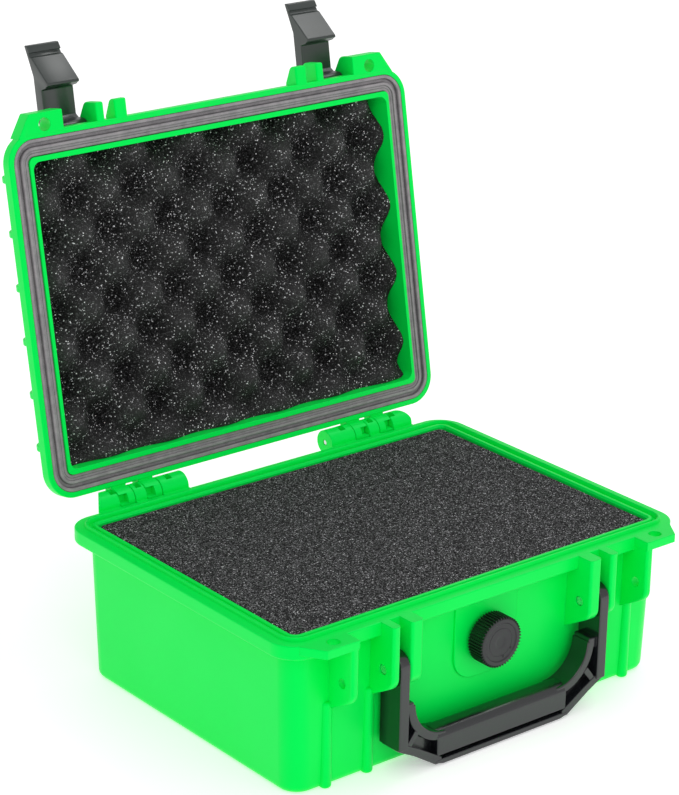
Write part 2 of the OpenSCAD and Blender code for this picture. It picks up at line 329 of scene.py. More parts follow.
def soften(obj: Object, width: float = 0.5, segments: int = 2, angle: float = 35) -> Object:
    """Rounds every edge that is sharper than an angle in degrees, and returns the object.

    Args:
        obj: Mesh object to work on.
        width: Width of the bevel, in mm.
        segments: Number of steps across the bevel.
        angle: Limit angle, in degrees.

    Returns:
        The same object.
    """
    apply_modifier(
        obj,
        "BEVEL",
        width=width * MM,
        segments=segments,
        limit_method="ANGLE",
        angle_limit=math.radians(angle),
    )
    return obj


def mirrored(obj: Object) -> Object:
    """Adds the same shape on the other side of the middle, and returns the object."""
    apply_modifier(obj, "MIRROR", use_mirror_merge=False)
    return obj


def combine(obj: Object, how: Join, parts: Sequence[Object]) -> Object:
    """Adds solids to an object or cuts them out of it, and uses them up.

    Args:
        obj: The object that is changed.
        how: Whether the parts are added or cut away.
        parts: Closed solids.

    Returns:
        The same object.
    """
    for part in parts:
        apply_modifier(obj, "BOOLEAN", operation=how.value, object=part, solver="MANIFOLD")
        bpy.data.objects.remove(part)
    return obj


def rounded_slab(
    name: str, half_x: float, half_y: float, low: float, high: float, corner: float, segments: int = 10
) -> Object:
    """Adds a slab about the middle of the case with rounded upright corners.

    Args:
        name: Name of the new piece.
        half_x: Half of the width, in mm.
        half_y: Half of the depth, in mm.
        low: Lower end, in mm.
        high: Upper end, in mm.
        corner: Radius of the corners, in mm.
        segments: Number of steps round each corner.

    Returns:
        The new slab.
    """
    slab = block(name, (-half_x, -half_y, low), (half_x, half_y, high))
    bevel_edges(slab, upright, corner, segments)
    return slab


def shaded(obj: Object, angle: float = 38) -> None:
    """Smooths the shading up to an angle in degrees and keeps large flats flat.

    Args:
        obj: Mesh object to work on.
        angle: Limit angle, in degrees.
    """
    activate(obj)
    bpy.ops.object.shade_smooth_by_angle(angle=math.radians(angle))
    apply_modifier(obj, "WEIGHTED_NORMAL", keep_sharp=True, weight=60)


# ------------------------------------------------------------------ finishes


class Tree:
    """A material's node tree, with short calls that add and link nodes."""

    def __init__(self, name: str) -> None:
        """Starts a material with a principled shader.

        Args:
            name: Name of the material.
        """
        self.material: Material = bpy.data.materials.new(name)
        self.material.use_nodes = True
        self.nodes = self.material.node_tree.nodes
        self.links = self.material.node_tree.links
        self.shader = next(n for n in self.nodes if n.type == "BSDF_PRINCIPLED")
        self.place = self.add("ShaderNodeTexCoord").outputs["Object"]

    def add(self, kind: str, sockets: dict[str, object] | None = None, **settings: object) -> bpy.types.Node:
        """Adds a node.

        Args:
            kind: The node's type name.
            sockets: Values, or other nodes' outputs, for its inputs.
            **settings: Its own properties.

        Returns:
            The node.
        """
        node = self.nodes.new(kind)
        for name, value in settings.items():
            setattr(node, name, value)
        for name, value in (sockets or {}).items():
            self.feed(node, name, value)
        return node

    def feed(self, node: bpy.types.Node, name: str | int, value: object) -> None:
        """Links an output to a node's input, or sets the input's value.

        Args:
            node: Node to work on.
            name: Name or number of the input.
            value: Value or socket.
        """
        if isinstance(value, bpy.types.NodeSocket):
            self.links.new(value, node.inputs[name])
        else:
            node.inputs[name].default_value = value

    def noise(self, scale: float, detail: float = 2.0, roughness: float = 0.5) -> bpy.types.NodeSocket:
        """A noise pattern in space, from 0 to 1, with a scale in waves per metre."""
        sockets = {"Vector": self.place, "Scale": scale, "Detail": detail, "Roughness": roughness}
        return self.add("ShaderNodeTexNoise", sockets).outputs["Fac"]

    def spread(
        self, value: bpy.types.NodeSocket, low: float, high: float, to_low: float, to_high: float
    ) -> bpy.types.NodeSocket:
        """Maps a range of values onto another one, without going past its ends."""
        sockets = {"Value": value, "From Min": low, "From Max": high, "To Min": to_low, "To Max": to_high}
        return self.add("ShaderNodeMapRange", sockets).outputs["Result"]

    def blend(
        self, factor: bpy.types.NodeSocket, first: Sequence[float], second: Sequence[float]
    ) -> bpy.types.NodeSocket:
        """A colour between two colours.

        Args:
            factor: Mixing factor.
            first: Colour at 0.
            second: Colour at 1.

        Returns:
            The mixed colour.
        """
        node = self.add("ShaderNodeMix", data_type="RGBA")
        for index, value in ((0, factor), (6, first), (7, second)):
            self.feed(node, index, value if isinstance(value, bpy.types.NodeSocket) else (*value, 1.0))
        return node.outputs[2]

    def bump(
        self, height: bpy.types.NodeSocket, strength: float, depth: float, normal: object = None
    ) -> bpy.types.NodeSocket:
        """A bumped normal, with a depth in metres, laid on another normal if one is given.

        Args:
            height: Height that is turned into relief.
            strength: Strength of the bump.
            depth: Depth of the bump, in m.
            normal: Normal to start from.

        Returns:
            The new normal.
        """
        sockets = {"Height": height, "Strength": strength, "Distance": depth}
        if normal is not None:
            sockets["Normal"] = normal
        return self.add("ShaderNodeBump", sockets).outputs["Normal"]

    def round_edges(self, radius: float) -> bpy.types.NodeSocket:
        """A normal that rolls over every sharp edge within a radius in metres."""
        return self.add("ShaderNodeBevel", {"Radius": radius}, samples=4).outputs["Normal"]


@dataclass(frozen=True)
class MouldedPlastic:
    """Injection-moulded plastic: satin skin, faint flow mottling and softly rounded edges."""

    name: str
    colour: tuple[float, float, float]
    shade: tuple[float, float, float]
    roughness: float
    grain_depth: float
    sheen: float = 0.5
    tint: tuple[float, float, float] = (1.0, 1.0, 1.0)
    edge_radius: float = 0.0004
    flow_scale: float = 26
    skin_scale: float = 1400
    skin_strength: float = 0.35
    gloss_range: tuple[float, float] = (-0.03, 0.05)

    def material(self) -> Material:
        """Builds the plastic.

        Returns:
            The finished material.
        """
        tree = Tree(self.name)
        flow = tree.noise(self.flow_scale, 3.0)
        skin = tree.noise(self.skin_scale, 2.0, 0.6)
        smooth, rough = (self.roughness + shift for shift in self.gloss_range)
        edges = tree.round_edges(self.edge_radius)
        tree.feed(tree.shader, "Base Color", tree.blend(flow, self.colour, self.shade))
        tree.feed(tree.shader, "Roughness", tree.spread(flow, 0.3, 0.7, smooth, rough))
        tree.feed(tree.shader, "Normal", tree.bump(skin, self.skin_strength, self.grain_depth, edges))
        tree.shader.inputs["Specular IOR Level"].default_value = self.sheen
        tree.shader.inputs["Specular Tint"].default_value = (*self.tint, 1.0)
        return tree.material


@dataclass(frozen=True)
class SealRubber:
    """Matt rubber with a dusty bloom, fine drag lines and painted shade in its grooves."""

    name: str
    colour: tuple[float, float, float]
    bloom: tuple[float, float, float]
    # groove: painted shade, the dark colour laid in the grooves where ambient occlusion finds them.
    groove: tuple[float, float, float] = (0.012, 0.011, 0.014)
    groove_shade_reach: float = 0.0016
    dust_scale: float = 170
    skin_scale: float = 900
    skin_strength: float = 0.5
    skin_depth: float = 0.00012
    edge_radius: float = 0.0002
    roughness: tuple[float, float] = (0.55, 0.75)

    def material(self) -> Material:
        """Builds the rubber, with painted shade darkening its grooves.

        Returns:
            The finished material.
        """
        tree = Tree(self.name)
        dust = tree.spread(tree.noise(self.dust_scale, 5.0, 0.65), 0.3, 0.75, 0.0, 1.0)
        skin = tree.noise(self.skin_scale, 3.0, 0.6)
        # Painted shade: ambient occlusion over a short reach darkens the colour in the grooves.
        shelter = tree.add("ShaderNodeAmbientOcclusion", {"Distance": self.groove_shade_reach}, samples=6)
        open_sky = tree.spread(shelter.outputs["AO"], 0.35, 0.85, 0.0, 1.0)
        surface = tree.blend(dust, self.colour, self.bloom)
        edges = tree.round_edges(self.edge_radius)
        tree.feed(tree.shader, "Base Color", tree.blend(open_sky, self.groove, surface))
        tree.feed(tree.shader, "Roughness", tree.spread(dust, 0, 1, *self.roughness))
        tree.feed(tree.shader, "Normal", tree.bump(skin, self.skin_strength, self.skin_depth, edges))
        return tree.material


@dataclass(frozen=True)
class OpenCellFoam:
    """Open-cell foam: dark cells, lighter strands, bright specks painted where strands catch the light, and
    painted light on its peaks where its height is known.
    """

    name: str
    cells_per_metre: float
    dark: float
    mid: float
    light: float
    speck: float
    # Painted light: a grey that is added towards the peaks of the foam.
    painted_peak_light: float = 0.0
    rise_attribute: str = ""
    relief_strength: float = 0.8
    relief_depth: float = 0.0005
    roughness: float = 0.95
    sheen: float = 0.1

    def material(self) -> Material:
        """Builds the foam, with painted light added towards its peaks, leaving its valleys darker, if its
        height is known.

        Returns:
            The finished material.
        """
        tree = Tree(self.name)
        cells = tree.add("ShaderNodeTexVoronoi", {"Vector": tree.place, "Scale": self.cells_per_metre})
        lot = tree.add("ShaderNodeSeparateColor", {"Color": cells.outputs["Color"]})
        ramp = tree.add("ShaderNodeValToRGB", {"Fac": lot.outputs[0]})
        # The top stop is a painted highlight: the few cells that reach it turn near white, as glints where
        # strands catch the light.
        stops = (
            (0.0, self.dark),
            (0.4, self.dark * 1.6),
            (0.75, self.mid),
            (0.96, self.light),
            (0.993, self.speck),
        )
        for index, (position, grey) in enumerate(stops):
            stop = ramp.color_ramp.elements[index] if index < 2 else ramp.color_ramp.elements.new(position)
            stop.position = position
            stop.color = (grey, grey, grey * 1.03, 1.0)
        grain = tree.spread(tree.noise(self.cells_per_metre / 1.5, 3.0, 0.8), 0.35, 0.65, 0.4, 1.6)
        lit = tree.add("ShaderNodeVectorMath", {0: ramp.outputs["Color"]}, operation="SCALE")
        tree.feed(lit, "Scale", grain)
        lit = lit.outputs["Vector"]
        # Painted light and shade: grey is added by height, so the peaks read lit and the valleys shaded.
        if self.rise_attribute:
            rise = tree.add("ShaderNodeAttribute", attribute_name=self.rise_attribute).outputs["Fac"]
            painted_peak_light = tree.blend(tree.spread(rise, 0.1, 1.1, 0.0, 1.0), (0, 0, 0), (self.painted_peak_light,) * 3)
            lit = tree.add("ShaderNodeVectorMath", {0: lit, 1: painted_peak_light}, operation="ADD").outputs["Vector"]
        tree.feed(tree.shader, "Base Color", lit)
        heights = {0: cells.outputs["Distance"], 1: lot.outputs[2]}
        relief = tree.add("ShaderNodeMath", heights, operation="ADD").outputs[0]
        tree.feed(tree.shader, "Normal", tree.bump(relief, self.relief_strength, self.relief_depth))
        tree.shader.inputs["Roughness"].default_value = self.roughness
        tree.shader.inputs["Specular IOR Level"].default_value = self.sheen
        return tree.material


@dataclass(frozen=True)
class GroundSteel:
    """Plain ground steel rod with fine turning marks."""

    name: str
    colour: tuple[float, float, float]
    mark_scale: tuple[float, float, float] = (9000.0, 500.0, 500.0)
    roughness: tuple[float, float] = (0.22, 0.38)
    mark_strength: float = 0.3
    mark_depth: float = 0.00005

    def material(self) -> Material:
        """Builds the steel.

        Returns:
            The finished material.
        """
        tree = Tree(self.name)
        stretched = tree.add("ShaderNodeMapping", {"Vector": tree.place, "Scale": self.mark_scale})
        marks = tree.add("ShaderNodeTexNoise", {"Vector": stretched.outputs[0], "Scale": 1.0}).outputs["Fac"]
        shade = tuple(c * 0.8 for c in self.colour)
        tree.feed(tree.shader, "Base Color", tree.blend(marks, self.colour, shade))
        tree.feed(tree.shader, "Roughness", tree.spread(marks, 0.3, 0.7, *self.roughness))
        tree.feed(tree.shader, "Normal", tree.bump(marks, self.mark_strength, self.mark_depth))
        tree.shader.inputs["Metallic"].default_value = 1.0
        return tree.material


@dataclass(frozen=True)
class Finishes:
    """Every finish on the case, built once."""

    shell: Material
    seal: Material
    lid_foam: Material
    base_foam: Material
    latch: Material
    handle: Material
    valve: Material
    valve_rubber: Material
    steel: Material

    @classmethod
    def build(cls) -> "Finishes":
        """Builds the materials.

        Returns:
            All finishes of the case.
        """
        return cls(
            shell=MouldedPlastic(
                name="shell_green",
                colour=(0.0, 0.86, 0.085),
                shade=(0.0, 0.81, 0.075),
                roughness=0.36,
                grain_depth=0.00005,
                sheen=0.4,
                tint=(0.05, 1.0, 0.5),
            ).material(),
            seal=SealRubber("seal_rubber", colour=(0.2, 0.19, 0.2), bloom=(0.34, 0.32, 0.33)).material(),
            lid_foam=OpenCellFoam(
                name="lid_foam_black",
                cells_per_metre=1900,
                dark=0.002,
                mid=0.016,
                light=0.075,
                speck=0.95,
                painted_peak_light=0.042,
                rise_attribute="rise",
            ).material(),
            base_foam=OpenCellFoam(
                name="base_foam_grey", cells_per_metre=1900, dark=0.012, mid=0.085, light=0.26, speck=0.7
            ).material(),
            latch=MouldedPlastic(
                name="latch_black",
                colour=(0.014, 0.021, 0.019),
                shade=(0.02, 0.028, 0.025),
                roughness=0.3,
                grain_depth=0.00003,
                sheen=0.7,
            ).material(),
            handle=MouldedPlastic(
                name="handle_black",
                colour=(0.006, 0.007, 0.009),
                shade=(0.009, 0.010, 0.012),
                roughness=0.2,
                grain_depth=0.00003,
                sheen=0.75,
            ).material(),
            valve=MouldedPlastic(
                name="valve_black",
                colour=(0.008, 0.008, 0.010),
                shade=(0.014, 0.014, 0.017),
                roughness=0.4,
                grain_depth=0.00006,
            ).material(),
            valve_rubber=SealRubber(
                "valve_rubber_black", colour=(0.02, 0.02, 0.02), bloom=(0.05, 0.05, 0.05)
            ).material(),
            steel=GroundSteel("pin_steel", colour=(0.78, 0.79, 0.8)).material(),
        )


# ------------------------------------------------------------------ the case


@dataclass(frozen=True)
class CaseSizes:
    """Sizes that several pieces share, in millimetres, in the closed case."""

    half_width: float
    front_y: float
    ledge_z: float
    hinge_y: float
    open_angle: float
    hinge_out: float = 8.0
    flange_corner: float = 16.0
    base_flange: float = 8.0
    lid_flange: float = 7.0
    lid_depth: float = 30.0
    lid_gap: float = 0.3
    knuckle_radius: float = 7.2
    knuckle_marks: tuple[float, ...] = (50.6, 68.5, 78.7, 86.5, 96.6, 111.0)
    inner_rib: tuple[float, float] = (57.5, 65.2)
    outer_rib: tuple[float, float] = (72.2, 77.2)
    ear_start: float = 98.5
    padlock: tuple[float, float, float] = (110.3, -102.4, 3.6)
    padlock_reach: float = 22.0
    pin_reach: float = 70.0
    ear_tip: tuple[float, float] = (119.2, 127.2)
    hinge_end: tuple[tuple[float, float], ...] = (
        (111.0, 100.0),
        (101.5, 114.6),
        (114.0, 118.0),
        (118.0, 100.0),
    )

    @classmethod
    def from_frame(cls) -> "CaseSizes":
        """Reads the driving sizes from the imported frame.

        Returns:
            The sizes.
        """
        low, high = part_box("base_shell")
        hinge = next(joint for joint in frame["joints"] if joint["name"] == "lid_hinge")
        return cls(
            half_width=high.x / MM,
            front_y=low.y / MM,
            ledge_z=hinge["pos_m"][2] / MM,
            hinge_y=hinge["pos_m"][1] / MM,
            open_angle=math.radians(hinge["range_deg"][1]),
        )

    @property
    def half_depth(self) -> float:
        """Half the depth of the flanges."""
        return self.hinge_y - self.hinge_out

    @property
    def lid_z(self) -> float:
        """The underside of the closed lid."""
        return self.ledge_z + self.lid_gap

    @property
    def lid_top(self) -> float:
        """The top of the closed lid."""
        return self.ledge_z + self.lid_depth

    def opened(self) -> Matrix:
        """The turn that swings the closed lid to its open stop.

        Returns:
            Turn of the lid from closed to open.
        """
        pivot = Vector((0, self.hinge_y, self.ledge_z)) * MM
        turn = Matrix.Rotation(-self.open_angle, 4, "X")
        return Matrix.Translation(pivot) @ turn @ Matrix.Translation(-pivot)


@dataclass
class Piece:
    """A sub-assembly of the case: it builds its meshes and dresses them."""

    sizes: CaseSizes
    finishes: Finishes

    def dress(self, obj: Object, name: str, body: str, slot: str, finish: Material, *nodes: str) -> Object:
        """Names a finished piece, gives it its finish and sets it on its body.

        Args:
            obj: The finished mesh.
            name: The piece's name.
            body: The body that it moves with.
            slot: The record's material slot; not used.
            finish: Its material.
            *nodes: The frame's nodes that it stands for.

        Returns:
            The piece.
        """
        obj.name = name
        obj.data.name = name
        obj.data.materials.clear()
        obj.data.materials.append(finish)
        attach(obj, body)
        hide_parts(*nodes)
        LOG.info("%s: %d faces on %s", name, len(obj.data.polygons), body)
        return obj

    def ear(self, low: float, high: float) -> Object:
        """A corner ear with a slanted outer end, on both sides.

        Args:
            low: Lower end, in mm.
            high: Upper end, in mm.

        Returns:
            The pair of ears.
        """
        sizes = self.sizes
        back_y = -sizes.half_depth + 2.2
        ear = drawn(
            "ear",
            [
                (sizes.ear_start, back_y, low),
                (sizes.ear_start, sizes.front_y, low),
                (sizes.ear_tip[0], sizes.front_y, low),
                (sizes.ear_tip[1], back_y, low),
            ],
            (0, 0, high - low),
        )
        return mirrored(soften(ear, 0.5))

    def knuckles(self, marks: Sequence[int], arm_low: float, arm_high: float) -> list[Object]:
        """Hinge knuckles between pairs of marks, with arms to the flange, on both sides.

        Args:
            marks: The index of each knuckle's inner mark.
            arm_low: The underside of the arms.
            arm_high: The top of the arms.

        Returns:
            The rods and the arms.
        """
        sizes = self.sizes
        parts = []
        for mark in marks:
            start = sizes.knuckle_marks[mark] + 0.2
            end = sizes.knuckle_marks[mark + 1] - 0.2
            centre = ((start + end) / 2, sizes.hinge_y, sizes.ledge_z)
            knuckle = rod("knuckle", Axis.X, centre, end - start, sizes.knuckle_radius, 56, 0.45)
            parts.append(mirrored(knuckle))
            arm = block("arm", (start, sizes.half_depth - 2, arm_low), (end, sizes.hinge_y, arm_high))
            parts.append(mirrored(soften(arm, 0.3)))
        return parts

    def pin_cutter(self, radius: float) -> Object:
        """A rod that bores the hinge knuckles on both sides.

        Args:
            radius: Radius, in mm.

        Returns:
            The pair of cutters.
        """
        sizes = self.sizes
        centre = (sum(sizes.knuckle_marks[::5]) / 2, sizes.hinge_y, sizes.ledge_z)
        return mirrored(rod("hinge_bore", Axis.X, centre, sizes.pin_reach, radius, 24))

    def padlock_cutter(self, height: float) -> Object:
        """A rod that drills the padlock holes."""
        x, y, radius = self.sizes.padlock
        return mirrored(rod("padlock_bore", Axis.Z, (x, y, height), self.sizes.padlock_reach, radius, 40))


@dataclass
class BaseShell(Piece):
    """The tub with its rim flange, tongue, ears, ribs, beads, valve panel and hinge knuckles."""

    tub_half: tuple[float, float] = (127.7, 91.1)
    tub_foot: tuple[float, float] = (125.1, 89.9)
    cavity_half: tuple[float, float] = (122.4, 86.4)
    cavity_foot: tuple[float, float] = (119.8, 85.2)
    floor: float = 3.0
    rib_foot: float = 54.5
    guard_rib: tuple[float, float] = (98.8, 103.4)
    rib_slope: float = 13.0
    handle_axis: tuple[float, float] = (-101.0, 62.5)
    valve_z: float = 56.0
    ear_depth: float = 5.0
    panel_half: float = 21.5
    panel_low: float = 34.0
    panel_y: tuple[float, float] = (-92.0, -85.0)
    panel_corner: float = 14.0
    bead_x: tuple[float, float] = (77.0, 104.0)
    bead_radius: float = 3.2
    notch_x: tuple[float, ...] = (61.6, 82.2, 98.8)
    notch_half: float = 1.9
    hinge_bore: float = 1.62
    handle_bore: float = 2.77
    valve_bore: float = 7.05

    def build(self) -> Object:
        """Builds the base shell and dresses it.

        Returns:
            The dressed piece.
        """
        top = self.sizes.ledge_z
        shell = self.tub()
        combine(shell, Join.ADD, [self.flange(), self.panel(), self.ear(top - self.ear_depth, top)])
        combine(shell, Join.ADD, self.ribs() + self.beads())
        combine(shell, Join.ADD, self.knuckles((0, 2, 4), top - self.sizes.base_flange, top))
        combine(shell, Join.CUT, [self.cavity()] + self.holes())
        shaded(shell)
        return self.dress(shell, "shell_base", "base", "shell", self.finishes.shell, "base_shell")

    def tub(self) -> Object:
        """The outside of the tub, drawn in towards its foot, with a rounded bottom edge.

        Returns:
            The tub.
        """
        tub = rounded_slab("tub", *self.tub_half, 0, self.sizes.ledge_z - 2, 12)
        factors = [foot / top for foot, top in zip(self.tub_foot, self.tub_half)]
        resize_at(tub, at(2, 0.0), *factors)
        bevel_edges(tub, at(2, 0.0), 4, 5)
        return tub

    def flange(self) -> Object:
        """The rim flange, with the tongue, the channel and the inner ridge raised on its top.

        Returns:
            The flange.
        """
        sizes = self.sizes
        low = sizes.ledge_z - sizes.base_flange
        slab = rounded_slab(
            "flange", sizes.half_width, sizes.half_depth, low, sizes.ledge_z, sizes.flange_corner, 14
        )
        bevel_edges(slab, at(2, low), 1.4, 4)
        bevel_edges(slab, at(2, sizes.ledge_z), 0.7, 3)
        ledge = [(4.9, 0.0)]
        tongue = [(0.1, 1.4), (0.4, 0.5), (0.9, 0.0), (0.4, -0.5), (0.1, -1.4)]
        channel = [(0.1, -1.0), (2.2, 0.0), (0.1, 1.0)]
        ridge = [(0.1, 0.6), (0.4, 0.4), (1.4, 0.0), (0.4, -0.4), (0.1, -0.6)]
        step_face(slab, at(2, sizes.ledge_z), ledge + tongue + channel + ridge)
        return slab

    def panel(self) -> Object:
        """The flat panel that stands proud of the front wall round the valve.

        Returns:
            The panel.
        """
        half, low, (front, back) = self.panel_half, self.panel_low, self.panel_y
        panel = block("panel", (-half, front, low), (half, back, self.sizes.ledge_z - 4))
        bevel_edges(panel, along_y_at(half, low), self.panel_corner, 10)
        return soften(panel, 0.6, 3)

    def ribs(self) -> list[Object]:
        """The front ribs that carry the handle and guard the latches, on both sides.

        Returns:
            The ribs.
        """
        sizes = self.sizes
        parts = []
        low, front, back = self.rib_foot - self.rib_slope, sizes.front_y, -sizes.half_depth + 14
        for start, end in (sizes.inner_rib, sizes.outer_rib, self.guard_rib):
            rib = block("rib", (start, front, low), (end, back, sizes.ledge_z - TOUCH))
            move_at(rib, along_x_at(front, low), (0, 0, self.rib_slope))
            bevel_edges(rib, along_x_at(front, self.rib_foot), 4, 6)
            bevel_edges(rib, self.nose, 1.7, 5)
            parts.append(mirrored(rib))
        return parts

    def nose(self, corners: Corners) -> bool:
        """Says whether an edge outlines the front and the foot of a rib, on either flank.

        Args:
            corners: Corners of the element, in mm.

        Returns:
            Whether the edge belongs to the nose.
        """
        sizes = self.sizes
        flank = abs(corners[0].x - corners[1].x) < 0.01
        low_front = all(c.z < sizes.ledge_z - 1 or c.y < sizes.front_y + 0.1 for c in corners)
        clear_of_wall = all(c.y < -sizes.half_depth + 13.9 or c.z < 1 for c in corners)
        return flank and low_front and clear_of_wall

    def beads(self) -> list[Object]:
        """The half-round beads that run down the front wall from the ribs.

        Returns:
            The beads.
        """
        wall_y = -self.tub_half[1] + 1.5
        top = self.rib_foot - 6
        beads = []
        for x in self.bead_x:
            bead = rod("bead", Axis.Z, (x, wall_y, top / 2 + 0.3), top, self.bead_radius, 40, 1.4)
            beads.append(mirrored(bead))
        return beads

    def cavity(self) -> Object:
        """The inside of the tub, to be cut out.

        Returns:
            The cutter.
        """
        high = self.sizes.ledge_z + 5
        cavity = rounded_slab("cavity", *self.cavity_half, self.floor, high, 3.6, 6)
        factors = [foot / top for foot, top in zip(self.cavity_foot, self.cavity_half)]
        resize_at(cavity, at(2, self.floor), *factors)
        bevel_edges(cavity, at(2, self.floor), 3, 3)
        return cavity

    def holes(self) -> list[Object]:
        """Everything that is bored or notched out of the base.

        Returns:
            The cutters.
        """
        sizes = self.sizes
        axis_y, axis_z = self.handle_axis
        hinge_end = [(x, y, sizes.ledge_z - 9) for x, y in sizes.hinge_end]
        cutters = [
            self.padlock_cutter(sizes.ledge_z),
            self.pin_cutter(self.hinge_bore),
            mirrored(rod("handle_bore", Axis.X, (81, axis_y, axis_z), 50, self.handle_bore, 32)),
            rod("valve_bore", Axis.Y, (0, -88, self.valve_z), 14, self.valve_bore, 40),
            mirrored(drawn("end_cut", hinge_end, (0, 0, 20))),
        ]
        for x in self.notch_x:
            low = (x - self.notch_half, sizes.hinge_y - 3.4, sizes.ledge_z + 3.4)
            high = (x + self.notch_half, sizes.hinge_y + 2.0, sizes.ledge_z + 9)
            cutters.append(mirrored(block("notch", low, high)))
        return cutters


@dataclass
class LidShell(Piece):
    """The lid panel with its flange, seal channel, cross ribs, lugs, ears and hinge knuckles."""

    wall_half: tuple[float, float] = (124.2, 88.2)
    top_half: tuple[float, float] = (122.8, 86.8)
    cavity_half: tuple[float, float] = (120.4, 83.6)
    cavity_top: tuple[float, float] = (118.4, 81.6)
    ear_depth: float = 9.0
    panel: float = 3.0
    channel: tuple[float, float, float] = (3.1, 12.7, 5.0)
    cross_ribs: int = 6
    rib_pitch: float = 29.5
    rib_half: float = 2.0
    latch_axis: tuple[float, float] = (-97.4, 100.9)
    low_lug: tuple[float, float] = (5.5, 11.0)
    high_lug: tuple[float, float] = (12.0, 18.8)
    ear_lug: float = 4.4
    hinge_bore: float = 1.65
    latch_bore: float = 1.62

    def build(self) -> Object:
        """Builds the lid closed, swings it open and dresses it.

        Returns:
            The dressed piece.
        """
        sizes = self.sizes
        shell = self.wall()
        arms = (sizes.lid_z + 0.6, sizes.lid_z + sizes.lid_flange)
        ear = self.ear(sizes.lid_z, sizes.lid_z + self.ear_depth)
        combine(shell, Join.ADD, self.stiffeners() + [self.flange(), ear])
        combine(shell, Join.ADD, self.lugs() + self.knuckles((1, 3), *arms))
        combine(shell, Join.CUT, [self.seal_channel(), self.cavity()] + self.holes())
        shaded(shell)
        shell.data.transform(sizes.opened())
        return self.dress(shell, "shell_lid", "lid", "shell", self.finishes.shell, "lid_shell")

    def wall(self) -> Object:
        """The outside of the lid, drawn in a little and rounded over at the top.

        Returns:
            The wall.
        """
        sizes = self.sizes
        wall = rounded_slab("lid_wall", *self.wall_half, sizes.lid_z + 0.5, sizes.lid_top, 12)
        factors = [top / side for top, side in zip(self.top_half, self.wall_half)]
        resize_at(wall, at(2, sizes.lid_top), *factors)
        bevel_edges(wall, at(2, sizes.lid_top), 6, 6)
        return wall

    def stiffeners(self) -> list[Object]:
        """The ribs that cross the lid and run down its side walls.

        Returns:
            The ribs across the lid.
        """
        sizes = self.sizes
        side, top = self.wall_half[0] + 0.6, sizes.lid_top + 1.3
        parts = []
        for index in range(self.cross_ribs):
            y = (index - (self.cross_ribs - 1) / 2) * self.rib_pitch
            low = (-side, y - self.rib_half, sizes.lid_z + 4)
            rib = block("stiffener", low, (side, y + self.rib_half, top))
            bevel_edges(rib, along_y_at(side, top), 7, 6)
            parts.append(soften(rib, 0.8, 3))
        return parts

    def flange(self) -> Object:
        """The lid's rim flange.

        Returns:
            The flange.
        """
        sizes = self.sizes
        top = sizes.lid_z + sizes.lid_flange
        slab = rounded_slab(
            "lid_flange", sizes.half_width, sizes.half_depth, sizes.lid_z, top, sizes.flange_corner, 14
        )
        bevel_edges(slab, at(2, top), 1.4, 4)
        bevel_edges(slab, at(2, sizes.lid_z), 0.7, 3)
        return slab

    def lugs(self) -> list[Object]:
        """The front ribs and the lugs that hold the latch pins, rising to the lid wall, on both sides.

        Returns:
            The lugs.
        """
        sizes = self.sizes
        front, middle, back = sizes.front_y, -sizes.half_depth - 0.5, -sizes.half_depth + 13
        spans = (
            (*sizes.inner_rib, *self.low_lug),
            (*sizes.outer_rib, *self.high_lug),
            (sizes.ear_start, sizes.ear_start + self.ear_lug, *self.high_lug),
        )
        parts = []
        for start, end, front_height, back_height in spans:
            side = [
                (front, TOUCH),
                (front, front_height),
                (middle, back_height),
                (back, back_height),
                (back, TOUCH),
            ]
            lug = drawn("lug", [(start, y, sizes.lid_z + rise) for y, rise in side], (end - start, 0, 0))
            bevel_edges(lug, along_x_at(front, sizes.lid_z + front_height), 1.8, 4)
            parts.append(mirrored(soften(lug, 1.1, 4, 30)))
        return parts

    def seal_channel(self) -> Object:
        """The ring that is cut out for the seal.

        Returns:
            The cutter.
        """
        sizes = self.sizes
        outer, inner, depth = self.channel
        return Seal(sizes, self.finishes).ring(outer, inner, sizes.lid_z - 1, sizes.lid_z + depth)

    def cavity(self) -> Object:
        """The inside of the lid, to be cut out.

        Returns:
            The cutter.
        """
        sizes = self.sizes
        top = sizes.lid_top - self.panel
        cavity = rounded_slab("lid_cavity", *self.cavity_half, sizes.lid_z - 1, top, 4.5, 6)
        resize_at(cavity, at(2, top), *[a / b for a, b in zip(self.cavity_top, self.cavity_half)])
        bevel_edges(cavity, at(2, top), 2.5, 3)
        return cavity

    def holes(self) -> list[Object]:
        """Everything that is bored or cut through the lid.

        Returns:
            The cutters.
        """
        sizes = self.sizes
        cutters = [
            self.padlock_cutter(sizes.lid_z),
            self.pin_cutter(self.hinge_bore),
            mirrored(rod("latch_bore", Axis.X, (88, *self.latch_axis), 34, self.latch_bore, 24)),
        ]
        for end in (sizes.knuckle_marks[2], sizes.knuckle_marks[4]):
            low = (end - 5.4, sizes.hinge_y - 9, sizes.ledge_z + 0.6)
            window = mirrored(block("window", low, (end + 1, sizes.hinge_y - 2.2, sizes.ledge_z + 5.4)))
            window.data.transform(sizes.opened().inverted())
            cutters.append(window)
        return cutters


